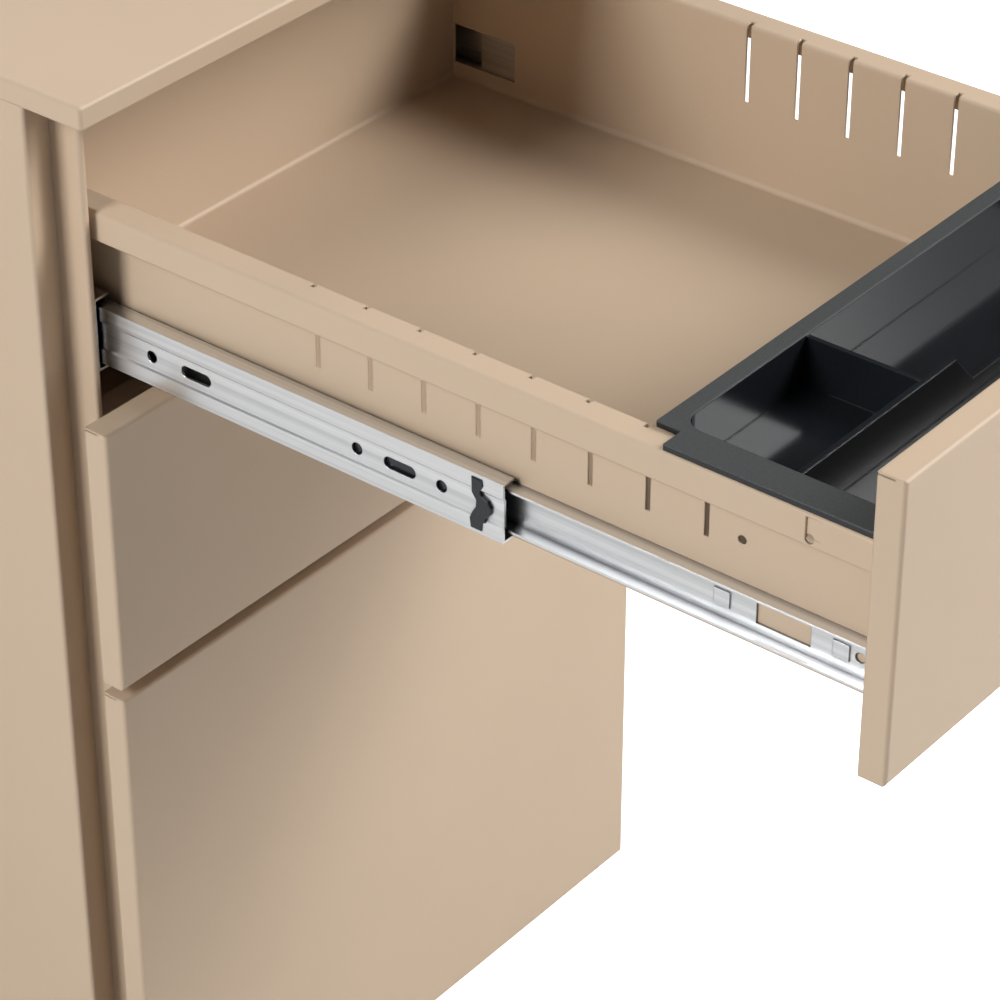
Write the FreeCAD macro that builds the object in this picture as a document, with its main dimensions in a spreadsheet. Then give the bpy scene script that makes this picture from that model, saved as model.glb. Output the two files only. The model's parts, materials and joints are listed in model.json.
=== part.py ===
import FreeCAD, Part
import itertools
import math
import os
import Sketcher

# Steel filing cabinet with two shallow drawers over one deep filing drawer.
# Every size below is written for a cabinet that stands with the face of its closed
# drawer fronts in the plane Y = 0, its depth towards +Y, its middle at X = 0 and the
# floor at Z = 0.  Placements then move each piece into the object's own frame, whose
# origin is on the floor under the middle of the whole object, top drawer open.

Vector = FreeCAD.Vector
doc = FreeCAD.newDocument("filing_cabinet")
table = doc.addObject("Spreadsheet::Sheet", "sizes")
row_numbers = itertools.count(1)


# ---------------------------------------------------------------- sizes and formulas

class Size:
    """A number of millimetres together with the spreadsheet formula that gives it."""

    def __init__(self, number, formula):
        self.number = number
        self.formula = formula

    def __add__(self, other):
        other = as_size(other)
        return Size(self.number + other.number, f"({self.formula} + {other.formula})")

    def __sub__(self, other):
        other = as_size(other)
        return Size(self.number - other.number, f"({self.formula} - {other.formula})")

    def __mul__(self, other):
        other = as_size(other)
        return Size(self.number * other.number, f"({self.formula} * {other.formula})")

    def __truediv__(self, other):
        other = as_size(other)
        return Size(self.number / other.number, f"({self.formula} / {other.formula})")

    def __neg__(self):
        return Size(-self.number, f"(0 - {self.formula})")

    def __rsub__(self, other):
        return as_size(other) - self

    __radd__ = __add__
    __rmul__ = __mul__


def as_size(value):
    """Turns a plain number into a Size, and leaves a Size as it is."""
    if isinstance(value, Size):
        return value
    return Size(float(value), f"({float(value)})")


def size(alias, number, meaning):
    """Writes one driving size into the spreadsheet and returns it."""
    row = next(row_numbers)
    table.set(f"A{row}", meaning)
    table.set(f"B{row}", str(number))
    table.setAlias(f"B{row}", alias)
    return Size(float(number), f"sizes.{alias}")


# The carcass.
cabinet_width = size("cabinet_width", 400, "width over the side panels")
cabinet_depth = size("cabinet_depth", 560, "drawer fronts' face to the back of the back panel")
cabinet_height = size("cabinet_height", 700, "floor to the top")
gauge = size("gauge", 1.0, "thickness of all sheet steel")
bend = size("bend", 1.8, "outer radius of a sheet's bends")
assembly_gap = size("assembly_gap", 0.1, "play between carcass pieces that slot together")
foot_height = size("foot_height", 25, "floor to the underside of the carcass")
top_rim = size("top_rim", 11, "height of the top panel's folded rim")
top_setback = size("top_setback", 1.7, "top panel's front edge behind the drawer fronts' face")
grip_inset = size("grip_inset", 19, "depth of the finger grip beside the drawer fronts")
grip_front = size("grip_front", 36.8, "drawer fronts' face to the side panel's front edge")
grip_root = size("grip_root", 41.7, "drawer fronts' face to the root of the finger grip")
post_front = size("post_front", 23.5, "drawer fronts' face to the front edge of the grip's post")
post_lip = size("post_lip", 3.1, "width of the lip folded in at the post's front edge")
rear_return = size("rear_return", 18, "width of the side panels' rear return")
base_upturn = size("base_upturn", 15, "height of the base panel's upturned edges")
base_front = size("base_front", 44, "drawer fronts' face to the front edge of the base panel")
rail_front = size("rail_front", 26, "drawer fronts' face to the front of the cross rails")
rail_depth = size("rail_depth", 14, "depth of the cross rails")
rail_height = size("rail_height", 15, "height of the cross rails")
rail_setdown = size("rail_setdown", 12, "top of a cross rail below the top of the front it hides behind")
upright_width = size("upright_width", 26, "width of the slide uprights")
front_upright = size("front_upright", 46, "drawer fronts' face to the front uprights")
rear_upright = size("rear_upright", 54, "back of the rear uprights in front of the cabinet's back")

# The drawer fronts and boxes.
small_front = size("small_front", 143, "height of the two shallow drawer fronts")
front_gap = size("front_gap", 6, "gap between drawer fronts")
front_clear = size("front_clear", 16.6, "cabinet's top to the top of the top drawer's front")
skirt_height = size("skirt_height", 43.4, "floor to the bottom edge of the lowest front")
front_depth = size("front_depth", 12.9, "depth of a drawer front over its returns")
seam_slit = size("seam_slit", 0.7, "open seam between a front's top and side returns")
seam_start = size("seam_start", 5, "drawer front's face to the start of that seam")
liner_gap = size("liner_gap", 0.2, "play of the liner inside a drawer front's returns")
floor_rise = size("floor_rise", 4.8, "front's bottom edge to the drawer's floor")
rim_drop = size("rim_drop", 52.2, "front's top edge down to the drawer box's rim")
rim_lip = size("rim_lip", 15, "depth of the lip that hangs from the rim")
rim_width = size("rim_width", 13.5, "drawer box's outer face to the rim's outer edge")
rim_clearance = size("rim_clearance", 1.0, "rim to the uprights it passes")
box_rear_clear = size("box_rear_clear", 45.6, "drawer box's rear to the cabinet's back")
divider_slots = size("divider_slots", 8, "number of divider slots in each side wall")
slot_first = size("slot_first", 117, "drawer front's face to the first divider slot")
slot_pitch = size("slot_pitch", 29.9, "distance between divider slots")
slot_width = size("slot_width", 2.4, "width of a divider slot")
slot_depth = size("slot_depth", 42.3, "depth of a divider slot below the rim")
slot_notch = size("slot_notch", 4, "how far a divider slot cuts into the rim")
window_length = size("window_length", 40, "length of the window at the rear of each side wall")
window_height = size("window_height", 22, "height of that window")
stud_hole = size("stud_hole", 2.1, "radius of the small holes in the side walls")
stud_behind = size("stud_behind", 99.2, "drawer front's face to the hole in a side wall")
stud_drop = size("stud_drop", 21.5, "rim's hanging lip down to the hole in a side wall")
tab_behind = size("tab_behind", 60.5, "drawer front's face to the rear edge of the lip's lanced tab")
tab_length = size("tab_length", 7.5, "length of the lanced tab")
tab_rise = size("tab_rise", 3.7, "lip's lower edge to the lanced tab")
tab_hole_inset = size("tab_hole_inset", 2, "lanced tab's rear edge to the hole below it")
tab_hole_rise = size("tab_hole_rise", 3, "lip's lower edge to the hole below the tab")
wall_corner = size("wall_corner", 2.5, "inner radius between a drawer's floor and its walls")

# The slides.
slide_pack = size("slide_pack", 12.7, "thickness of a slide from its back to the drawer wall")
slide_inset = size("slide_inset", 6.8, "post's inner face to the backs of the slides")
slide_rise = size("slide_rise", 18.5, "drawer's floor to the middle of its slides")
slide_steel = size("slide_steel", 1.2, "thickness of the slide members")
outer_height = size("outer_height", 38, "height of the cabinet member")
middle_height = size("middle_height", 30, "height of the intermediate member")
inner_height = size("inner_height", 21.6, "height of the drawer member")
bracket_inset = size("bracket_inset", 3, "brackets behind a cabinet member in from its edges")
outer_lip = size("outer_lip", 3.0, "cabinet member's edge clear of the drawer wall")
member_play = size("member_play", 1.0, "play between nested webs")
web_recess = size("web_recess", 0.8, "depth of the recessed band along the intermediate member")
band_height = size("band_height", 7.4, "half height of that recessed band")
web_hole = size("web_hole", 3, "radius of the holes in the intermediate member's web")
web_hole_first = size("web_hole_first", 34.4, "intermediate member's front end to its first hole")
web_hole_second = size("web_hole_second", 82, "intermediate member's front end to its second hole")
web_hole_third = size("web_hole_third", 204, "intermediate member's front end to its third hole")
web_slot_first = size("web_slot_first", 57.8, "intermediate member's front end to its first slot")
web_slot_second = size("web_slot_second", 177, "intermediate member's front end to its second slot")
web_slot_length = size("web_slot_length", 18, "length of those slots")
cage_gap = size("cage_gap", 1.4, "space for the ball cage's web")
inner_hole = size("inner_hole", 24, "drawer member's front end to its hole")
inner_hole_radius = size("inner_hole_radius", 2.5, "radius of that hole")
inner_window = size("inner_window", 61.5, "drawer member's front end to the middle of its window")
inner_window_length = size("inner_window_length", 27, "length of that window")
inner_window_height = size("inner_window_height", 11, "height of that window")
lug_first = size("lug_first", 33, "drawer member's front end to its first raised lug")
lug_second = size("lug_second", 92, "drawer member's front end to its second raised lug")
lug_size = size("lug_size", 8, "length and height of a lug")
lug_rise = size("lug_rise", 0.8, "how far a lug stands out")
cage_steel = size("cage_steel", 0.6, "thickness of the ball cages")
cage_length = size("cage_length", 100, "length of a ball cage")
cage_start = size("cage_start", 126, "closed cage's front end behind the drawer fronts' face")
ball_radius = size("ball_radius", 1.1, "radius of the balls")
outer_start = size("outer_start", 29, "cabinet member's front end behind the drawer fronts' face")
middle_start = size("middle_start", 20.7, "closed intermediate member's front end")
inner_start = size("inner_start", 15, "closed drawer member's front end")
outer_rear = size("outer_rear", 31, "cabinet member's rear end in front of the cabinet's back")
middle_rear = size("middle_rear", 59.3, "closed intermediate member's rear end in front of the back")
inner_rear = size("inner_rear", 65, "closed drawer member's rear end in front of the back")
clip_behind = size("clip_behind", 6, "intermediate member's front end to its clip")

# How far the top drawer stands open, and what its slides follow.
top_extension = size("top_extension", 421.6, "travel of the open top drawer")
middle_ratio = size("middle_ratio", 0.54, "intermediate member's travel per unit of drawer travel")
cage_ratio = size("cage_ratio", 0.77, "ball cage's travel per unit of drawer travel")

# The pen tray, measured from the top drawer's front face and its rim.
tray_front = size("tray_front", 16, "drawer front's face to the tray's front edge")
tray_back = size("tray_back", 143.6, "drawer front's face to the tray's back edge")
tray_ear_back = size("tray_ear_back", 131, "drawer front's face to the back of the tray's ears")
tray_ear_edge = size("tray_ear_edge", 1.0, "tray's ears inside the drawer rim's outer edge")
tray_plate = size("tray_plate", 3, "thickness of the tray's rim")
tray_wall = size("tray_wall", 2, "thickness of the tray's walls")
tray_play = size("tray_play", 1.5, "tray's basin to the drawer's walls")
tray_rear_edge = size("tray_rear_edge", 8.7, "width of the tray's rear rim")
tray_split = size("tray_split", 77, "drawer front's face to the ridge between the compartments")
tray_divider = size("tray_divider", 66, "middle of the drawer to the divider")
tray_notch = size("tray_notch", 44.5, "middle of the drawer to the start of the notch in the ridge")
tray_notch_run = size("tray_notch_run", 16, "run of the notch's sloping ends")
tray_notch_depth = size("tray_notch_depth", 14, "drawer's rim to the bottom of the notch")
tray_depth = size("tray_depth", 22, "drawer's rim to the floor of the tray")
tray_step = size("tray_step", 1, "tops of the divider and ridge below the tray's rim")
tray_corner = size("tray_corner", 10, "radius of the tray's rear corners")

# The file rails, the back panel's screws and the feet.
rail_first = size("rail_first", 62, "drawer front's face to the front file rail")
rail_spacing = size("rail_spacing", 330, "distance between the two file rails")
rail_bar = size("rail_bar", 15, "height of a file rail below the rim")
rail_steel = size("rail_steel", 2, "thickness of a file rail")
screw_inset = size("screw_inset", 10, "back screws in from the cabinet's sides")
screw_lowest = size("screw_lowest", 60, "floor to the lowest back screws")
screw_highest = size("screw_highest", 60, "cabinet's top to the highest back screws")
screw_radius = size("screw_radius", 1.9, "radius of a back screw's shank")
screw_play = size("screw_play", 0.2, "play around a back screw's shank")
screw_length = size("screw_length", 10, "length of a back screw's shank")
screw_head_radius = size("screw_head_radius", 3.6, "radius of a back screw's head")
screw_head = size("screw_head", 2, "height of a back screw's head")
foot_inset = size("foot_inset", 50, "feet in from the cabinet's sides")
foot_front = size("foot_front", 76, "drawer fronts' face to the front feet")
foot_rear = size("foot_rear", 40, "rear feet in from the cabinet's back")
foot_radius = size("foot_radius", 18, "radius of a foot's pad")
foot_pad = size("foot_pad", 6, "height of a foot's pad")
foot_cone = size("foot_cone", 6, "height of the cone above the pad")
foot_neck = size("foot_neck", 8, "radius at the cone's top")
nut_radius = size("nut_radius", 7.5, "radius over the lock nut's corners")
nut_height = size("nut_height", 6, "height of the lock nut")
stud_radius = size("stud_radius", 4, "radius of a foot's stud")
stud_play = size("stud_play", 0.2, "play around a foot's stud")
stud_above = size("stud_above", 13, "stud's end above the base panel's underside")

half_width = cabinet_width / 2
post_face = half_width - grip_inset
slide_face = post_face - gauge - slide_inset
box_face = slide_face - slide_pack
wall_inside = box_face - gauge
rim_edge = box_face + rim_width
upright_face = rim_edge + rim_clearance
carcass_top = cabinet_height - top_rim
box_rear = cabinet_depth - box_rear_clear
large_front = cabinet_height - front_clear - 2 * small_front - 2 * front_gap - skirt_height
frame_shift = (top_extension - cabinet_depth - screw_head) / 2
SIDES = {"left": -1, "right": 1}


# ------------------------------------------------------------------- modelling helpers

def bind(thing, path, value):
    """Sets a property of a document object to a size, and keeps it tied to that size."""
    value = as_size(value)
    if "." not in path:
        setattr(thing, path, value.number)
    thing.setExpression(path, value.formula)


def pin(sketch, geometry, point, x, y):
    """Ties both coordinates of a sketch point to their sizes."""
    for kind, axis, value in (("DistanceX", -2, as_size(x)), ("DistanceY", -1, as_size(y))):
        if abs(value.number) < 1e-9:
            sketch.addConstraint(Sketcher.Constraint("PointOnObject", geometry, point, axis))
            continue
        ends = (-1, 1, geometry, point)
        if value.number < 0:
            value = -value
            ends = (geometry, point, -1, 1)
        index = sketch.addConstraint(Sketcher.Constraint(kind, *ends, value.number))
        sketch.setExpression(f"Constraints[{index}]", value.formula)


def flat(x, y):
    """A sketch point as a vector of plain numbers."""
    return Vector(as_size(x).number, as_size(y).number, 0)


def outline(*points):
    """A closed outline with straight sides through the points."""
    def draw(sketch):
        first = sketch.GeometryCount
        count = len(points)
        for index in range(count):
            line = Part.LineSegment(flat(*points[index]), flat(*points[(index + 1) % count]))
            sketch.addGeometry(line, False)
        for index, point in enumerate(points):
            here = first + index
            following = first + (index + 1) % count
            sketch.addConstraint(Sketcher.Constraint("Coincident", here, 2, following, 1))
            pin(sketch, here, 1, *point)
    return draw


def rectangle(x_low, x_high, y_low, y_high):
    """An upright rectangle between two pairs of sizes."""
    return outline((x_low, y_low), (x_high, y_low), (x_high, y_high), (x_low, y_high))


def circle(x, y, radius):
    """A round outline."""
    def draw(sketch):
        index = sketch.addGeometry(Part.Circle(flat(x, y), Vector(0, 0, 1), radius.number), False)
        pin(sketch, index, 3, x, y)
        rule = sketch.addConstraint(Sketcher.Constraint("Radius", index, radius.number))
        sketch.setExpression(f"Constraints[{rule}]", radius.formula)
    return draw


def slot_hole(start, end, y, radius):
    """A slot along the sketch's first axis, with round ends about the two centres."""
    def draw(sketch):
        left = sketch.GeometryCount
        right, lower, upper = left + 1, left + 2, left + 3
        for x, turn in ((start, math.pi / 2), (end, -math.pi / 2)):
            ring = Part.Circle(flat(x, y), Vector(0, 0, 1), radius.number)
            sketch.addGeometry(Part.ArcOfCircle(ring, turn, turn + math.pi), False)
        for first, last, rise in ((start, end, -radius), (end, start, radius)):
            line = Part.LineSegment(flat(first, y + rise), flat(last, y + rise))
            sketch.addGeometry(line, False)
        for joint in ((left, 2, lower, 1), (lower, 2, right, 1), (right, 2, upper, 1), (upper, 2, left, 1)):
            sketch.addConstraint(Sketcher.Constraint("Tangent", *joint))
        sketch.addConstraint(Sketcher.Constraint("Equal", left, right))
        pin(sketch, left, 3, start, y)
        pin(sketch, right, 3, end, y)
        rule = sketch.addConstraint(Sketcher.Constraint("Radius", left, radius.number))
        sketch.setExpression(f"Constraints[{rule}]", radius.formula)
    return draw


def new_body(name):
    """An empty body whose label is the node's name."""
    body = doc.addObject("PartDesign::Body", name)
    body.Label = name
    return body


def sketch_in(body, plane, start, loops):
    """A sketch parallel to one of the body's own planes, at a given height above it."""
    role = f"{plane}_Plane"
    support = next(f for f in body.Origin.OriginFeatures if f.Role == role)
    sketch = body.newObject("Sketcher::SketchObject", f"{body.Label}_sketch")
    sketch.AttachmentSupport = [(support, "")]
    sketch.MapMode = "FlatFace"
    bind(sketch, "AttachmentOffset.Base.z", -start if plane == "XZ" else start)
    for draw in loops:
        draw(sketch)
    return sketch


def add_pad(body, plane, start, length, *loops):
    """Adds material from a start along the plane's positive axis."""
    sketch = sketch_in(body, plane, as_size(start), loops)
    feature = body.newObject("PartDesign::Pad", f"{body.Label}_pad")
    feature.Profile = sketch
    feature.Reversed = plane == "XZ"
    bind(feature, "Length", length)
    return feature


def add_pocket(body, plane, start, length, *loops):
    """Cuts material from a start along the plane's positive axis."""
    sketch = sketch_in(body, plane, as_size(start), loops)
    feature = body.newObject("PartDesign::Pocket", f"{body.Label}_pocket")
    feature.Profile = sketch
    feature.Reversed = plane != "XZ"
    bind(feature, "Length", length)
    return feature


def lies_on(edge, where):
    """Whether a straight edge lies on all the given coordinate planes."""
    ends = [vertex.Point for vertex in edge.Vertexes]
    if len(ends) != 2 or not isinstance(edge.Curve, Part.Line):
        return False
    planes = [(axis, as_size(value).number) for axis, value in where.items()]
    return all(abs(getattr(end, axis) - value) < 1e-4 for end in ends for axis, value in planes)


def round_edges(body, radius, *places):
    """Rounds the straight edges found at each place, a pair of coordinates by axis."""
    doc.recompute()
    base = body.Tip
    edges = enumerate(base.Shape.Edges, start=1)
    names = [f"Edge{number}" for number, edge in edges if any(lies_on(edge, place) for place in places)]
    if not names:
        raise RuntimeError(f"{body.Label}: no edge to round")
    feature = body.newObject("PartDesign::Fillet", f"{body.Label}_fillet")
    feature.Base = (base, names)
    bind(feature, "Radius", radius)


def put(thing, travel=0):
    """Places a sub-part in the object's frame, moved forward by its drawer's travel."""
    bind(thing, "Placement.Base.y", frame_shift - travel)
    sub_parts.append(thing)


sub_parts = []


# ----------------------------------------------------------------------- the carcass

def make_side_panel(name, side):
    """One folded sheet: front lip, post, finger grip, outer face and rear return."""
    inside = half_width - gauge
    lean = (grip_root - grip_front) / grip_inset
    step = gauge * (1 + lean)
    lip = post_face - post_lip
    post_inside = post_face - gauge
    rear = cabinet_depth - gauge
    path = [
        (lip, post_front), (post_face, post_front), (post_face, grip_root),
        (half_width, grip_front), (half_width, rear), (half_width - rear_return, rear),
        (half_width - rear_return, rear - gauge), (inside, rear - gauge),
        (inside, grip_front + step), (post_inside, grip_root + step),
        (post_inside, post_front + gauge), (lip, post_front + gauge),
    ]
    body = new_body(name)
    points = [(x * side, y) for x, y in path]
    add_pad(body, "XY", foot_height, carcass_top - foot_height, outline(*points))
    face = [dict(x=post_face * side, y=post_front), dict(x=half_width * side, y=grip_front)]
    round_edges(body, bend, *face, dict(x=half_width * side, y=rear))
    screw_x = (half_width - screw_inset) * side
    holes = [circle(screw_x, height, screw_radius + screw_play) for height in screw_heights()]
    add_pocket(body, "XZ", rear - 2 * gauge, 3 * gauge, *holes)
    put(body)


def screw_heights():
    """The heights of the back panel's screws, evenly spread."""
    rows = 4
    reach = cabinet_height - screw_highest - screw_lowest
    return [screw_lowest + reach * index / (rows - 1) for index in range(rows)]


def make_top_panel():
    """A shallow upturned tray, with its rim folded down on all four sides."""
    body = new_body("top_panel")
    outer = rectangle(-half_width, half_width, top_setback, cabinet_depth)
    add_pad(body, "XY", carcass_top, top_rim, outer)
    edge = half_width - gauge
    inner = rectangle(-edge, edge, top_setback + gauge, cabinet_depth - gauge)
    add_pocket(body, "XY", carcass_top, top_rim - gauge, inner)
    upright_edges = [dict(x=half_width * s, y=y) for s in (-1, 1) for y in (top_setback, cabinet_depth)]
    side_edges = [dict(x=half_width * s, z=cabinet_height) for s in (-1, 1)]
    end_edges = [dict(y=y, z=cabinet_height) for y in (top_setback, cabinet_depth)]
    round_edges(body, bend, *upright_edges, *side_edges, *end_edges)
    put(body)


def make_back_panel():
    """A flat sheet screwed over the side panels' rear returns."""
    body = new_body("back_panel")
    edge = half_width - 1.5 * gauge
    low = foot_height + gauge
    high = carcass_top - gauge
    holes = []
    for height in screw_heights():
        for side in (-1, 1):
            holes.append(circle((half_width - screw_inset) * side, height, screw_radius + screw_play))
    start = cabinet_depth - gauge
    add_pad(body, "XZ", start, gauge, rectangle(-edge, edge, low, high), *holes)
    put(body)


def make_base_panel():
    """The floor of the carcass, with its front and rear edges turned up."""
    body = new_body("base_panel")
    rear = cabinet_depth - 2 * gauge
    low = foot_height
    high = foot_height + base_upturn
    edge = half_width - gauge - assembly_gap
    section = outline(
        (base_front, low), (rear, low), (rear, high), (rear - gauge, high),
        (rear - gauge, low + gauge), (base_front + gauge, low + gauge),
        (base_front + gauge, high), (base_front, high))
    add_pad(body, "YZ", -edge, 2 * edge, section)
    holes = [circle(x, y, stud_radius + stud_play) for x, y in foot_places().values()]
    add_pocket(body, "XY", low - gauge, 3 * gauge, *holes)
    put(body)


def make_cross_rail(name, top, depth):
    """A channel across the carcass between the posts, open to the rear."""
    body = new_body(name)
    edge = post_face - gauge - assembly_gap
    low = top - rail_height
    rear = rail_front + depth
    section = outline(
        (rail_front, low), (rear, low), (rear, low + gauge), (rail_front + gauge, low + gauge),
        (rail_front + gauge, top - gauge), (rear, top - gauge), (rear, top), (rail_front, top))
    add_pad(body, "YZ", -edge, 2 * edge, section)
    put(body)


def make_upright(name, side, start):
    """A channel that stands on the base panel and carries the slides."""
    body = new_body(name)
    edge = half_width - gauge - assembly_gap
    end = start + upright_width
    web = upright_face + gauge
    path = [
        (upright_face, start), (edge, start), (edge, start + gauge), (web, start + gauge),
        (web, end - gauge), (edge, end - gauge), (edge, end), (upright_face, end),
    ]
    low = foot_height + gauge
    points = [(x * side, y) for x, y in path]
    add_pad(body, "XY", low, carcass_top - assembly_gap - low, outline(*points))
    put(body)


def foot_places():
    """The four feet by name, as X and Y."""
    places = {}
    for side_name, side in SIDES.items():
        x = (half_width - foot_inset) * side
        places[f"front_{side_name}"] = (x, foot_front)
        places[f"rear_{side_name}"] = (x, cabinet_depth - foot_rear)
    return places


def primitive(kind, name, x, y, z, **sizes):
    """A Part primitive at a place, with its sizes tied to the spreadsheet."""
    thing = doc.addObject(f"Part::{kind}", name)
    for path, value in sizes.items():
        bind(thing, path, value)
    for axis, value in (("x", x), ("y", y), ("z", z)):
        bind(thing, f"Placement.Base.{axis}", value)
    return thing


def make_foot(place, x, y):
    """A levelling foot: round pad, cone, lock nut under the base panel, and stud."""
    name = f"{place}_foot"
    stud = foot_height + stud_above - foot_pad
    pieces = [
        primitive("Cylinder", f"{name}_pad", x, y, 0, Radius=foot_radius, Height=foot_pad),
        primitive("Cone", f"{name}_cone", x, y, foot_pad,
                  Radius1=foot_radius, Radius2=foot_neck, Height=foot_cone),
        primitive("Prism", f"{name}_nut", x, y, foot_height - nut_height,
                  Circumradius=nut_radius, Height=nut_height),
        primitive("Cylinder", f"{name}_stud", x, y, foot_pad, Radius=stud_radius, Height=stud),
    ]
    foot = doc.addObject("Part::MultiFuse", name)
    foot.Label = name
    foot.Shapes = pieces
    put(foot)


def make_back_screws():
    """The pan-head screws that hold the back panel, as one group of separate solids."""
    screws = []
    for side in (-1, 1):
        x = (half_width - screw_inset) * side
        for height in screw_heights():
            screw = doc.addObject("Part::Fuse", "back_screw")
            shank_start = cabinet_depth - screw_length
            screw.Base = primitive("Cylinder", "back_screw_shank", x, shank_start, height,
                                   Radius=screw_radius, Height=screw_length)
            screw.Tool = primitive("Cylinder", "back_screw_head", x, cabinet_depth, height,
                                   Radius=screw_head_radius, Height=screw_head)
            for cylinder in (screw.Base, screw.Tool):
                cylinder.Placement.Rotation = FreeCAD.Rotation(Vector(1, 0, 0), -90)
            screws.append(screw)
    group = doc.addObject("Part::Compound", "back_panel_screws")
    group.Label = "back_panel_screws"
    group.Links = screws
    put(group)


# ------------------------------------------------------------------------ the drawers

class Drawer:
    """The levels and the travel that the pieces of one drawer share."""

    def __init__(self, name, bottom, height, travel):
        self.name = name
        self.bottom = bottom
        self.top = bottom + height
        self.floor = bottom + floor_rise
        self.rim = self.top - rim_drop
        self.slide = self.floor + slide_rise
        self.travel = travel


def make_front(drawer):
    """A drawer front: one sheet with a return on each edge, open at the back."""
    body = new_body(f"{drawer.name}_front")
    low, high = drawer.bottom, drawer.top
    add_pad(body, "XZ", 0, front_depth, rectangle(-half_width, half_width, low, high))
    hollow = rectangle(gauge - half_width, half_width - gauge, low + gauge, high - gauge)
    add_pocket(body, "XZ", gauge, front_depth, hollow)
    corners = [dict(x=half_width * s, y=0) for s in (-1, 1)]
    round_edges(body, bend, *corners, dict(y=0, z=low), dict(y=0, z=high))
    seam = high - gauge
    starts = (-half_width - gauge, half_width - gauge)
    slits = [rectangle(x, x + 2 * gauge, seam - seam_slit, seam) for x in starts]
    add_pocket(body, "XZ", seam_start, front_depth, *slits)
    put(body, drawer.travel)


def make_liner(drawer):
    """The flat sheet that closes the back of a drawer front."""
    body = new_body(f"{drawer.name}_front_liner")
    edge = half_width - gauge - liner_gap
    low = drawer.bottom + gauge + liner_gap
    high = drawer.top - gauge - liner_gap
    add_pad(body, "XZ", front_depth - gauge, gauge, rectangle(-edge, edge, low, high))
    put(body, drawer.travel)


def make_box(drawer):
    """The drawer box: folded floor and sides with rims, closed by two end walls."""
    body = new_body(f"{drawer.name}_box")
    low, floor, rim = drawer.floor - gauge, drawer.floor, drawer.rim
    lip = rim - rim_lip
    half = [
        (rim_edge, lip), (rim_edge, rim), (wall_inside, rim), (wall_inside, floor),
        (-wall_inside, floor), (-wall_inside, rim), (-rim_edge, rim), (-rim_edge, lip),
        (gauge - rim_edge, lip), (gauge - rim_edge, rim - gauge), (-box_face, rim - gauge),
        (-box_face, low), (box_face, low), (box_face, rim - gauge),
        (rim_edge - gauge, rim - gauge), (rim_edge - gauge, lip),
    ]
    add_pad(body, "XZ", front_depth, box_rear - front_depth, outline(*half))
    end_wall = rectangle(-wall_inside, wall_inside, floor, rim - 2 * gauge)
    add_pad(body, "XZ", front_depth, gauge, end_wall)
    add_pad(body, "XZ", box_rear - gauge, gauge, end_wall)
    insides = [dict(x=wall_inside * s, z=floor) for s in (-1, 1)]
    insides += [dict(y=y, z=floor) for y in (front_depth + gauge, box_rear - gauge)]
    round_edges(body, wall_corner, *insides)
    if drawer.travel is top_extension:
        # Only the drawer stored open shows its lower folds, so only they are rounded outside.
        folds = [dict(x=box_face * s, z=low) for s in (-1, 1)]
        round_edges(body, wall_corner + gauge, *folds)
    rim_edges = [dict(x=x * s, z=rim) for s in (-1, 1) for x in (rim_edge, wall_inside)]
    round_edges(body, bend, *rim_edges)
    cut_divider_slots(body, rim)
    cut_wall_openings(body, drawer)
    put(body, drawer.travel)


def cut_divider_slots(body, rim):
    """A row of slots down both side walls, each also notching the rim's inner edge."""
    low = slot_first - slot_width / 2
    high = slot_first + slot_width / 2
    loops = []
    for side in (-1, 1):
        ends = [(wall_inside - gauge) * side, (wall_inside + slot_notch) * side]
        loops.append(outline((ends[0], low), (ends[1], low), (ends[1], high), (ends[0], high)))
    slot = add_pocket(body, "XY", rim - slot_depth, slot_depth + gauge, *loops)
    row = body.newObject("PartDesign::LinearPattern", f"{body.Label}_slot_row")
    row.Originals = [slot]
    row.Direction = (slot.Profile[0], ["V_Axis"])
    bind(row, "Length", slot_pitch * (divider_slots - 1))
    row.Occurrences = int(divider_slots.number)
    row.setExpression("Occurrences", divider_slots.formula)
    body.Tip = row


def cut_wall_openings(body, drawer):
    """The rear window and the hole of each side wall, and the lanced tab of each lip."""
    lip_low = drawer.rim - rim_lip
    rear = box_rear - 2 * gauge
    low = drawer.slide - window_height / 2
    window = rectangle(rear - window_length, rear, low, low + window_height)
    hole = circle(stud_behind, lip_low - stud_drop, stud_hole)
    tab_hole = circle(tab_behind - tab_hole_inset, lip_low + tab_hole_rise, stud_hole)
    tab_low = lip_low + tab_rise
    tab_height = drawer.rim - bend - tab_low
    tab_front = tab_behind - tab_length
    for side in (-1, 1):
        wall_start = wall_inside - gauge if side > 0 else -box_face - gauge
        add_pocket(body, "YZ", wall_start, 3 * gauge, window, hole)
        inner, deeper = (rim_edge - gauge) * side, (rim_edge - 2 * gauge) * side
        backing = outline((inner + gauge * side / 2, tab_behind + gauge), (inner, tab_front),
                          (deeper, tab_behind - gauge), (deeper, tab_behind + gauge))
        add_pad(body, "XY", tab_low - gauge, tab_height, backing)
        dent = outline((rim_edge * side, tab_behind), (rim_edge * side, tab_front), (inner, tab_behind))
        add_pocket(body, "XY", tab_low, tab_height, dent)
        lip_start = rim_edge - 3 * gauge if side > 0 else -rim_edge - gauge
        add_pocket(body, "YZ", lip_start, 4 * gauge, tab_hole)


# ------------------------------------------------------------------------- the slides

def mirrored(path, side, level):
    """A slide section for one side, with its heights counted from the slide's middle."""
    return outline(*[(x * side, level + z) for x, z in path])


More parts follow.
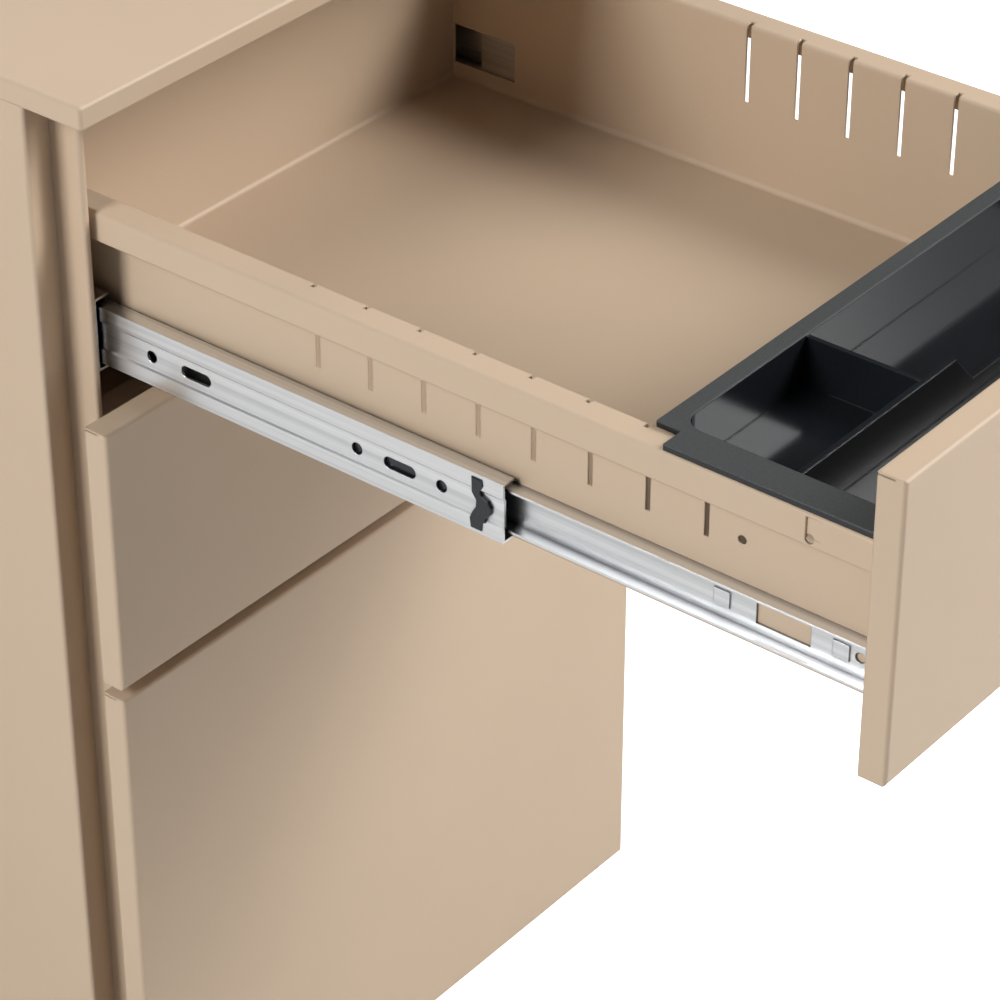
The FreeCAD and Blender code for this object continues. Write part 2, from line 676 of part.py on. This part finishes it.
def make_cabinet_member(drawer, side_name, side):
    """The outer channel of a slide, screwed to the uprights."""
    body = new_body(f"{drawer.name}_{side_name}_cabinet_member")
    edge = box_face + outer_lip
    web = slide_face - slide_steel
    half = outer_height / 2
    inner = half - slide_steel
    path = [(edge, half), (slide_face, half), (slide_face, -half), (edge, -half),
            (edge, -inner), (web, -inner), (web, inner), (edge, inner)]
    length = cabinet_depth - outer_rear - outer_start
    add_pad(body, "XZ", outer_start, length, mirrored(path, side, drawer.slide))
    low = drawer.slide - half + bracket_inset
    high = drawer.slide + half - bracket_inset
    brackets = []
    for start in (front_upright, cabinet_depth - rear_upright - upright_width):
        end = start + upright_width - bracket_inset
        brackets.append(rectangle(start + bracket_inset, end, low, high))
    bracket_start = slide_face if side > 0 else -upright_face
    add_pad(body, "YZ", bracket_start, upright_face - slide_face, *brackets)
    put(body)


def make_intermediate_member(drawer, side_name, side):
    """The middle member of a slide, whose web has a recessed band between two raised ones."""
    body = new_body(f"{drawer.name}_{side_name}_intermediate_member")
    edge = box_face + outer_lip
    raised = slide_face - slide_steel - member_play
    low = raised - web_recess
    half = middle_height / 2
    inner = half - slide_steel
    band, root = band_height, band_height - web_recess
    path = [(edge, half), (raised, half), (raised, band), (low, root), (low, -root), (raised, -band),
            (raised, -half), (edge, -half), (edge, -inner), (raised - slide_steel, -inner),
            (raised - slide_steel, -band), (low - slide_steel, -root), (low - slide_steel, root),
            (raised - slide_steel, band), (raised - slide_steel, inner), (edge, inner)]
    length = cabinet_depth - middle_rear - middle_start
    add_pad(body, "XZ", middle_start, length, mirrored(path, side, drawer.slide))
    holes = []
    for behind in (web_hole_first, web_hole_second, web_hole_third):
        holes.append(circle(middle_start + behind, drawer.slide, web_hole))
    reach = web_slot_length / 2 - web_hole
    for behind in (web_slot_first, web_slot_second):
        middle = middle_start + behind
        holes.append(slot_hole(middle - reach, middle + reach, drawer.slide, web_hole))
    cut_web(body, side, low, holes)
    put(body, drawer.travel * middle_ratio)


def cut_web(body, side, face, loops):
    """Cuts loops, drawn from the side, through the web whose outer face is given."""
    start = face - 2 * slide_steel if side > 0 else -face - slide_steel
    add_pocket(body, "YZ", start, 3 * slide_steel, *loops)


def make_drawer_member(drawer, side_name, side):
    """The inner channel of a slide, fixed to the drawer box's wall."""
    body = new_body(f"{drawer.name}_{side_name}_drawer_member")
    tip = inner_tip()
    web = box_face + slide_steel
    half = inner_height / 2
    inner = half - slide_steel
    path = [(box_face, half), (tip, half), (tip, inner), (web, inner),
            (web, -inner), (tip, -inner), (tip, -half), (box_face, -half)]
    length = cabinet_depth - inner_rear - inner_start
    add_pad(body, "XZ", inner_start, length, mirrored(path, side, drawer.slide))
    reach = inner_window_length / 2
    window_middle = inner_start + inner_window
    low = drawer.slide - inner_window_height / 2
    high = drawer.slide + inner_window_height / 2
    window = rectangle(window_middle - reach, window_middle + reach, low, high)
    cut_web(body, side, web, [window, circle(inner_start + inner_hole, drawer.slide, inner_hole_radius)])
    half_lug = lug_size / 2
    lugs = []
    for behind in (lug_first, lug_second):
        middle = inner_start + behind
        lugs.append(rectangle(middle - half_lug, middle + half_lug,
                              drawer.slide - half_lug, drawer.slide + half_lug))
    lug_start = web if side > 0 else -web - lug_rise
    add_pad(body, "YZ", lug_start, lug_rise, *lugs)
    put(body, drawer.travel)


def inner_tip():
    """How far out the drawer member's flanges reach."""
    raised = slide_face - slide_steel - member_play
    return raised - web_recess - slide_steel - cage_gap


def make_ball_cage(drawer, side_name, side):
    """The cage that keeps the balls between the intermediate and the drawer member."""
    name = f"{drawer.name}_{side_name}_ball_cage"
    tip = inner_tip()
    web_out = tip + (cage_gap + cage_steel) / 2
    web_in = web_out - cage_steel
    edge = box_face + outer_lip + cage_steel
    gap_middle = (middle_height / 2 - slide_steel + inner_height / 2) / 2
    high = gap_middle + cage_steel / 2
    low = gap_middle - cage_steel / 2
    path = [(edge, high), (web_out, high), (web_out, -high), (edge, -high),
            (edge, -low), (web_in, -low), (web_in, low), (edge, low)]
    channel = new_body(f"{name}_channel")
    add_pad(channel, "XZ", cage_start, cage_length, mirrored(path, side, drawer.slide))
    balls_per_row = 6
    pieces = [channel]
    for index in range(balls_per_row):
        along = cage_start + cage_length * (index + 0.5) / balls_per_row
        for up in (-1, 1):
            height = drawer.slide + gap_middle * up
            middle = (edge + ball_radius) * side
            pieces.append(primitive("Sphere", f"{name}_ball", middle, along, height, Radius=ball_radius))
    cage = doc.addObject("Part::MultiFuse", name)
    cage.Label = name
    cage.Shapes = pieces
    put(cage, drawer.travel * cage_ratio)


def make_clip(drawer, side_name, side):
    """The moulded clip snapped over the intermediate member's web near its front end."""
    body = new_body(f"{drawer.name}_{side_name}_clip")
    raised = slide_face - slide_steel - member_play
    low = raised - web_recess
    cover = member_play * 0.6
    half = middle_height / 2 - 2
    root = band_height - web_recess
    path = [(raised, half), (raised + cover, half), (raised + cover, -half), (raised, -half),
            (raised, -band_height), (low, -root), (low, root), (raised, band_height)]
    start = middle_start + clip_behind
    add_pad(body, "XZ", start, 2 * clip_behind, mirrored(path, side, drawer.slide))
    put(body, drawer.travel * middle_ratio)


# ------------------------------------------------------- the tray and the file rails

def make_pen_tray(drawer):
    """The moulded tray that hangs on the top drawer's rims, with three compartments."""
    body = new_body("pen_tray")
    rim = drawer.rim
    ear = rim_edge - tray_ear_edge
    basin = wall_inside - tray_play
    inside = basin - tray_wall
    inner_front = tray_front + 2 * tray_wall
    inner_back = tray_back - tray_rear_edge
    underside = rim - tray_depth - tray_wall
    block = rectangle(-basin, basin, tray_front + tray_wall, inner_back + tray_wall)
    add_pad(body, "XY", underside, rim - underside, block)
    plate = outline(
        (-ear, tray_front), (ear, tray_front), (ear, tray_ear_back), (box_face, tray_ear_back),
        (box_face, tray_back), (-box_face, tray_back), (-box_face, tray_ear_back), (-ear, tray_ear_back))
    add_pad(body, "XY", rim, tray_plate, plate)
    top = rim + tray_plate
    ridge_front = tray_split - tray_plate / 2
    ridge_back = tray_split + tray_plate / 2
    divider_left = -tray_divider - tray_wall / 2
    divider_right = -tray_divider + tray_wall / 2
    compartments = [
        rectangle(-inside, divider_left, ridge_back, inner_back),
        rectangle(divider_right, inside, ridge_back, inner_back),
        rectangle(-inside, inside, inner_front, ridge_front),
    ]
    add_pocket(body, "XY", rim - tray_depth, tray_depth + 2 * tray_plate, *compartments)
    opening = rectangle(-inside, inside, inner_front, inner_back)
    add_pocket(body, "XY", top - tray_step, 2 * tray_step, opening)
    slope = tray_notch - tray_notch_run
    low = rim - tray_notch_depth
    notch = outline((-tray_notch, top), (-slope, low), (slope, low), (tray_notch, top))
    add_pocket(body, "XZ", ridge_front - tray_wall / 2, tray_plate + tray_wall, notch)
    corners = [dict(x=inside * s, y=y) for s in (-1, 1) for y in (inner_front, inner_back)]
    round_edges(body, tray_corner, *corners)
    put(body, drawer.travel)


def make_file_rail(name, drawer, start):
    """A cross bar whose ends rest on the deep drawer's rims and carry hanging files."""
    body = new_body(name)
    rim = drawer.rim
    ear = rim_edge - tray_ear_edge
    inside = wall_inside - tray_play
    shape = outline(
        (-ear, rim), (-ear, rim + tray_plate), (ear, rim + tray_plate), (ear, rim),
        (inside, rim), (inside, rim - rail_bar), (-inside, rim - rail_bar), (-inside, rim))
    add_pad(body, "XZ", start, rail_steel, shape)
    put(body, drawer.travel)


# ------------------------------------------------------------------------- assembly

def make_drawer(drawer):
    """All the pieces of one drawer and of its two slides."""
    make_front(drawer)
    make_liner(drawer)
    make_box(drawer)
    for side_name, side in SIDES.items():
        make_cabinet_member(drawer, side_name, side)
        make_intermediate_member(drawer, side_name, side)
        make_drawer_member(drawer, side_name, side)
        make_ball_cage(drawer, side_name, side)
        make_clip(drawer, side_name, side)


def make_carcass(drawers):
    """The shell, its rails and uprights, the feet and the back panel's screws."""
    for side_name, side in SIDES.items():
        make_side_panel(f"{side_name}_side_panel", side)
        make_upright(f"front_{side_name}_upright", side, front_upright)
        rear_start = cabinet_depth - rear_upright - upright_width
        make_upright(f"rear_{side_name}_upright", side, rear_start)
    make_top_panel()
    make_back_panel()
    make_base_panel()
    top, middle, bottom = drawers
    make_cross_rail("top_cross_rail", carcass_top, rail_depth)
    make_cross_rail("upper_cross_rail", middle.top - rail_setdown, rail_depth)
    make_cross_rail("lower_cross_rail", bottom.top - rail_setdown, rail_depth)
    make_cross_rail("base_cross_rail", foot_height + rail_height, base_front - rail_front)
    for place, (x, y) in foot_places().items():
        make_foot(place, x, y)
    make_back_screws()


def check_model():
    """Stops if any object failed, any shape is bad, or any pocket cut nothing."""
    for thing in doc.Objects:
        if "Invalid" in thing.State or "Error" in thing.State:
            raise RuntimeError(f"{thing.Label} failed: {thing.State}")
        if thing.TypeId == "PartDesign::Pocket" and not thing.AddSubShape.Volume > 0:
            raise RuntimeError(f"{thing.Label} cut nothing")
    for thing in sub_parts:
        if thing.Shape.isNull() or not thing.Shape.isValid() or not thing.Shape.Solids:
            raise RuntimeError(f"{thing.Label} has no valid solid")


def main():
    bottom_drawer = Drawer("bottom_drawer", skirt_height, large_front, as_size(0))
    middle_drawer = Drawer("middle_drawer", bottom_drawer.top + front_gap, small_front, as_size(0))
    top_drawer = Drawer("top_drawer", middle_drawer.top + front_gap, small_front, top_extension)
    drawers = (top_drawer, middle_drawer, bottom_drawer)
    make_carcass(drawers)
    for drawer in drawers:
        make_drawer(drawer)
    make_pen_tray(top_drawer)
    make_file_rail("front_file_rail", bottom_drawer, rail_first)
    make_file_rail("rear_file_rail", bottom_drawer, rail_first + rail_spacing)
    doc.recompute()
    check_model()
    os.makedirs("parts", exist_ok=True)
    for thing in sub_parts:
        thing.Shape.exportStep(f"parts/{thing.Label}.step")
    print(len(sub_parts), "sub-parts written")


main()
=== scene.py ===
import bpy
import bmesh
import json
import math
from mathutils import Matrix, Vector


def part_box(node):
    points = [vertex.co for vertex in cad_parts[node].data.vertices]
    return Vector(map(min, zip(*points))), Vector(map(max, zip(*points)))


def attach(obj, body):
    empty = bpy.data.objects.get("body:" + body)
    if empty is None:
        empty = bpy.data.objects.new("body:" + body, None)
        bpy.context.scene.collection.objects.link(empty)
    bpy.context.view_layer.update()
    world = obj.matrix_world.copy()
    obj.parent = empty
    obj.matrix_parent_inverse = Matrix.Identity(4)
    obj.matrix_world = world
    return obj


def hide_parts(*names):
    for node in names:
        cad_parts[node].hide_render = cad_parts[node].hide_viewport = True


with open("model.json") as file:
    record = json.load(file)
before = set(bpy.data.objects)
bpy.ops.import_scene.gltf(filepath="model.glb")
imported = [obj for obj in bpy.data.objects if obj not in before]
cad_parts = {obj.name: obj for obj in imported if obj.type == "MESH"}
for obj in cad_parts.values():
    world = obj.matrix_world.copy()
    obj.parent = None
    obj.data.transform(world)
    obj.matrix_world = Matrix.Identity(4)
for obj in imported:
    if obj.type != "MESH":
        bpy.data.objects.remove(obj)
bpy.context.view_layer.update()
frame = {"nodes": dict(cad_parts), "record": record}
nodes = frame["nodes"]
scene = bpy.context.scene
TRAY_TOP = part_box("pen_tray")[1][2]  # height of the tray's rim at rest


# ------------------------------------------------------------------ material helpers

class Nodes:
    """A material's node tree with short calls for the nodes used here."""

    def __init__(self, name):
        self.material = bpy.data.materials.new(name)
        self.material.use_nodes = True
        self.tree = self.material.node_tree
        self.shader = self.tree.nodes["Principled BSDF"]
        self.coords = self.tree.nodes.new("ShaderNodeTexCoord").outputs["Object"]

    def link(self, source, target):
        self.tree.links.new(source, target)

    def set(self, **values):
        for key, value in values.items():
            self.shader.inputs[key.replace("_", " ")].default_value = value

    def node(self, kind, **inputs):
        made = self.tree.nodes.new(kind)
        for key, value in inputs.items():
            name = key.replace("_", " ")
            if hasattr(value, "links"):
                self.link(value, made.inputs[name])
            else:
                made.inputs[name].default_value = value
        return made

    def stretched(self, scale):
        return self.node("ShaderNodeMapping", Vector=self.coords, Scale=scale).outputs["Vector"]

    def noise(self, vector, scale, detail=3.0, roughness=0.5):
        made = self.node("ShaderNodeTexNoise", Vector=vector, Scale=scale, Detail=detail,
                         Roughness=roughness)
        return made.outputs["Fac"]

    def ranged(self, value, low, high, start=0.0, end=1.0):
        made = self.node("ShaderNodeMapRange", Value=value)
        made.inputs["From Min"].default_value = start
        made.inputs["From Max"].default_value = end
        made.inputs["To Min"].default_value = low
        made.inputs["To Max"].default_value = high
        return made.outputs["Result"]

    def ramp(self, value, *stops):
        made = self.node("ShaderNodeValToRGB", Fac=value)
        elements = made.color_ramp.elements
        while len(elements) < len(stops):
            elements.new(0.5)
        for element, (place, colour) in zip(elements, stops):
            element.position = place
            element.color = (*colour, 1.0)
        return made.outputs["Color"]

    def bump(self, height, strength, distance, radius):
        """A fine bump over edges that are softened by a small radius."""
        edge = self.node("ShaderNodeBevel", Radius=radius)
        edge.samples = 4
        made = self.node("ShaderNodeBump", Strength=strength, Distance=distance, Height=height,
                         Normal=edge.outputs["Normal"])
        self.link(made.outputs["Normal"], self.shader.inputs["Normal"])


def paint_material():
    """Satin powder coat: a fine orange peel with faint cloudiness."""
    m = Nodes("beige_powder_coat")
    m.set(Metallic=0.0, IOR=1.5, Specular_IOR_Level=0.35)
    cloud = m.noise(m.coords, 9.0, 2.0)
    m.link(m.ramp(cloud, (0.3, (0.545, 0.418, 0.300)), (0.7, (0.562, 0.431, 0.310))),
           m.shader.inputs["Base Color"])
    m.link(m.ranged(m.noise(m.coords, 60.0), 0.36, 0.44), m.shader.inputs["Roughness"])
    m.bump(m.noise(m.coords, 900.0, 2.0), 0.06, 0.0004, 0.0011)
    return m.material


def zinc_material():
    """Rolled, zinc-plated steel: streaks along the slide, with painted shade darkening its grooves
    and folds.
    """
    m = Nodes("zinc_plated_steel")
    m.set(Metallic=1.0)
    streaks = m.noise(m.stretched((300.0, 2.0, 330.0)), 1.0, 2.0, 0.5)
    bands = m.ramp(streaks, (0.25, (0.62, 0.63, 0.64)), (0.5, (0.80, 0.81, 0.82)),
                   (0.75, (0.86, 0.87, 0.88)))
    # painted shade: ambient occlusion over a few millimetres darkens the base colour in grooves and
    # tight folds
    painted_crease_shade = m.node("ShaderNodeAmbientOcclusion", Distance=0.007)
    painted_crease_shade.samples = 8
    shade = m.tree.nodes.new("ShaderNodeMix")
    shade.data_type = "RGBA"
    m.link(m.ranged(painted_crease_shade.outputs["AO"], 0.0, 1.0, 0.35, 0.85), shade.inputs["Factor"])
    # the near-black colour of the painted shade
    shade.inputs["A"].default_value = (0.10, 0.10, 0.11, 1.0)
    m.link(bands, shade.inputs["B"])
    m.link(shade.outputs["Result"], m.shader.inputs["Base Color"])
    m.link(m.ranged(streaks, 0.34, 0.26), m.shader.inputs["Roughness"])
    m.bump(streaks, 0.02, 0.0001, 0.0006)
    return m.material


def bright_material():
    """Polished hard steel of the screws."""
    m = Nodes("bright_steel")
    m.set(Metallic=1.0)
    fine = m.noise(m.coords, 500.0)
    m.link(m.ramp(fine, (0.3, (0.72, 0.72, 0.73)), (0.7, (0.82, 0.82, 0.83))),
           m.shader.inputs["Base Color"])
    m.link(m.ranged(fine, 0.10, 0.2), m.shader.inputs["Roughness"])
    m.bump(fine, 0.03, 0.0002, 0.0003)
    return m.material


def gloss_material():
    """Polished black moulding of the ball cages and clips."""
    m = Nodes("black_gloss_plastic")
    m.set(Metallic=0.0, IOR=1.5)
    fine = m.noise(m.coords, 40.0)
    m.link(m.ramp(fine, (0.3, (0.010, 0.012, 0.015)), (0.7, (0.014, 0.016, 0.019))),
           m.shader.inputs["Base Color"])
    m.link(m.ranged(fine, 0.07, 0.12), m.shader.inputs["Roughness"])
    m.bump(m.noise(m.coords, 1200.0), 0.04, 0.0002, 0.0008)
    return m.material


def tray_material():
    """Polished inside, with a matt grained rim on top."""
    m = Nodes("tray_plastic")
    m.set(Metallic=0.0, IOR=1.5)
    height = m.node("ShaderNodeSeparateXYZ", Vector=m.coords).outputs["Z"]
    rim = m.ranged(height, 0.0, 1.0, TRAY_TOP - 0.0009, TRAY_TOP - 0.0003)
    grain = m.noise(m.coords, 700.0, 2.0)
    colour = m.tree.nodes.new("ShaderNodeMix")
    colour.data_type = "RGBA"
    m.link(rim, colour.inputs["Factor"])
    inside = m.ramp(grain, (0.3, (0.008, 0.010, 0.012)), (0.7, (0.011, 0.013, 0.016)))
    matt = m.ramp(grain, (0.3, (0.046, 0.049, 0.050)), (0.7, (0.060, 0.063, 0.064)))
    m.link(inside, colour.inputs["A"])
    m.link(matt, colour.inputs["B"])
    m.link(colour.outputs["Result"], m.shader.inputs["Base Color"])
    m.link(m.ranged(rim, 0.13, 0.50), m.shader.inputs["Roughness"])
    m.bump(grain, 0.04, 0.0001, 0.0012)
    return m.material


def foot_material():
    """Matt black moulded feet."""
    m = Nodes("black_matt_plastic")
    m.set(Metallic=0.0, IOR=1.5)
    grain = m.noise(m.coords, 1500.0)
    m.link(m.ramp(grain, (0.3, (0.018, 0.018, 0.018)), (0.7, (0.03, 0.03, 0.03))),
           m.shader.inputs["Base Color"])
    m.link(m.ranged(grain, 0.5, 0.62), m.shader.inputs["Roughness"])
    m.bump(grain, 0.25, 0.0002, 0.0006)
    return m.material


FINISHES = {
    "beige_paint": paint_material(),
    "zinc_steel": zinc_material(),
    "bright_steel": bright_material(),
    "black_plastic": gloss_material(),
    "foot_plastic": foot_material(),
}

TRAY_FINISH = tray_material()

slot_of = {part["node"]: part["material_slot"] for part in frame["record"]["subparts"]}
for name, thing in nodes.items():
    finish = TRAY_FINISH if name == "pen_tray" else FINISHES[slot_of[name]]
    for slot in thing.material_slots:
        slot.material = finish


# ------------------------------------------------------------------ detailed pieces

def add_piece(name, mesh, body, node, finish):
    """A piece that stands for a CAD node and moves with its body."""
    piece = bpy.data.objects.new(name, mesh)
    scene.collection.objects.link(piece)
    mesh.materials.append(finish)
    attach(piece, body)
    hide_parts(node)
    return piece


def extruded(name, outline, thickness, edge):
    """A plate in the Y-Z plane, from x = 0 to x = -thickness, with its rim rounded."""
    bm = bmesh.new()
    face = bm.faces.new([bm.verts.new((0.0, y, z)) for y, z in outline])
    grown = bmesh.ops.extrude_face_region(bm, geom=[face])
    moved = [v for v in grown["geom"] if isinstance(v, bmesh.types.BMVert)]
    bmesh.ops.translate(bm, verts=moved, vec=(-thickness, 0.0, 0.0))
    bmesh.ops.recalc_face_normals(bm, faces=bm.faces)
    rim = [e for e in bm.edges if all(v in moved for v in e.verts)]
    bmesh.ops.bevel(bm, geom=rim, offset=edge, segments=2, profile=0.5, affect="EDGES")
    mesh = bpy.data.meshes.new(name)
    bm.to_mesh(mesh)
    bm.free()
    return mesh


CLIP_HALF_HEIGHT = 12.6
CLIP_EDGE = 0.0003
CLIP_OUTLINE = (
    (5.0, CLIP_HALF_HEIGHT), (-0.6, CLIP_HALF_HEIGHT), (-1.2, 9.6), (0.4, 6.6), (-0.6, 4.6),
    (-3.8, 3.2), (-5.8, 0.4), (-5.4, -2.6), (-2.6, -5.8), (-2.9, -7.6), (-1.0, -8.4),
    (-0.6, -CLIP_HALF_HEIGHT), (5.4, -CLIP_HALF_HEIGHT), (6.0, -8.0), (4.4, -4.4), (2.6, -1.6),
    (2.4, 1.8), (4.8, 5.2),
)  # millimetres along the slide and up, from the clip's middle


def make_clips():
    """The moulded stop on each intermediate member, waisted, with a tongue towards its open end."""
    for drawer in ("top_drawer", "middle_drawer", "bottom_drawer"):
        for side in ("left", "right"):
            node = f"{drawer}_{side}_clip"
            low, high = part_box(node)
            middle_y, middle_z = (low[1] + high[1]) / 2, (low[2] + high[2]) / 2
            tall = (high[2] - low[2]) / 2 / CLIP_HALF_HEIGHT
            mesh = extruded(f"{node}_moulding", [(y / 1000, z * tall) for y, z in CLIP_OUTLINE],
                            high[0] - low[0], CLIP_EDGE)
            inner = high[0] if side == "left" else low[0]
            place = Matrix.Translation((inner, middle_y, middle_z))
            if side == "right":
                place = place @ Matrix.Scale(-1.0, 4, (1.0, 0.0, 0.0))
            mesh.transform(place)
            if side == "right":
                mesh.flip_normals()
            add_piece(f"{node}_moulding", mesh, f"{drawer}_slide_intermediates", node,
                      FINISHES["black_plastic"])


make_clips()


# ------------------------------------------------------------ floor, light and camera

OBJECT_MIDDLE = Vector((0.0, -0.2, 0.5))
CAMERA_LENS = 133.2
CAMERA_PLACE = (-1.18469, -1.09040, 1.43446)
CAMERA_DIRECTION = Vector((0.64925, 0.52193, -0.55323))


def make_floor():
    """A pale floor that the camera sees as nearly white."""
    mesh = bpy.data.meshes.new("floor")
    bm = bmesh.new()
    bmesh.ops.create_grid(bm, x_segments=8, y_segments=8, size=6.0)
    bm.to_mesh(mesh)
    bm.free()
    floor = bpy.data.objects.new("floor", mesh)
    floor.location = (0, 0, -0.0005)
    scene.collection.objects.link(floor)
    m = Nodes("pale_floor")
    fine = m.noise(m.coords, 20.0)
    m.link(m.ramp(fine, (0.3, (0.64, 0.64, 0.64)), (0.7, (0.66, 0.66, 0.66))),
           m.shader.inputs["Base Color"])
    m.set(Roughness=0.9, Emission_Color=(1.0, 1.0, 1.0, 1.0))
    seen = m.tree.nodes.new("ShaderNodeLightPath").outputs["Is Camera Ray"]
    m.link(m.ranged(seen, 0.0, 0.9), m.shader.inputs["Emission Strength"])
    mesh.materials.append(m.material)


def area_light(name, place, width, height, power):
    """A softbox that faces the middle of the object."""
    light = bpy.data.lights.new(name, "AREA")
    light.shape = "RECTANGLE"
    light.size = width
    light.size_y = height
    light.energy = power
    lamp = bpy.data.objects.new(name, light)
    lamp.location = place
    aim = OBJECT_MIDDLE - Vector(place)
    lamp.rotation_euler = aim.to_track_quat("-Z", "Y").to_euler()
    scene.collection.objects.link(lamp)


def make_world():
    """A dim studio round the object, seen by the camera as white paper."""
    world = bpy.data.worlds.new("studio")
    world.use_nodes = True
    tree = world.node_tree
    dim = tree.nodes["Background"]
    dim.inputs["Color"].default_value = (1.0, 1.0, 1.0, 1.0)
    dim.inputs["Strength"].default_value = 0.07
    white = tree.nodes.new("ShaderNodeBackground")
    white.inputs["Color"].default_value = (1.0, 1.0, 1.0, 1.0)
    path = tree.nodes.new("ShaderNodeLightPath")
    mix = tree.nodes.new("ShaderNodeMixShader")
    tree.links.new(path.outputs["Is Camera Ray"], mix.inputs["Fac"])
    tree.links.new(dim.outputs["Background"], mix.inputs[1])
    tree.links.new(white.outputs["Background"], mix.inputs[2])
    tree.links.new(mix.outputs["Shader"], tree.nodes["World Output"].inputs["Surface"])
    scene.world = world


def make_camera():
    """The photographer's place: above, in front and to the left."""
    lens = bpy.data.cameras.new("camera")
    lens.lens = CAMERA_LENS
    lens.sensor_width = 36.0
    lens.clip_start = 0.05
    lens.clip_end = 50.0
    camera = bpy.data.objects.new("camera", lens)
    camera.location = CAMERA_PLACE
    camera.rotation_euler = CAMERA_DIRECTION.to_track_quat("-Z", "Y").to_euler()
    scene.collection.objects.link(camera)
    scene.camera = camera


make_floor()
make_world()
area_light("key", (2.1, -2.4, 3.0), 1.4, 1.4, 102)
area_light("front", (1.6, -2.9, 2.0), 1.4, 1.4, 41)
area_light("right", (3.0, -1.6, 2.0), 1.6, 1.6, 27)
area_light("left_high", (-3.0, 0.35, 2.5), 1.2, 1.2, 72)
area_light("left", (-3.2, 0.45, 1.3), 1.2, 1.8, 22)
area_light("top", (0.0, 0.2, 3.2), 2.4, 2.4, 8)
area_light("back", (0.6, 3.2, 2.0), 1.6, 1.6, 60)
make_camera()
scene.view_settings.view_transform = "Standard"
scene.view_settings.look = "None"
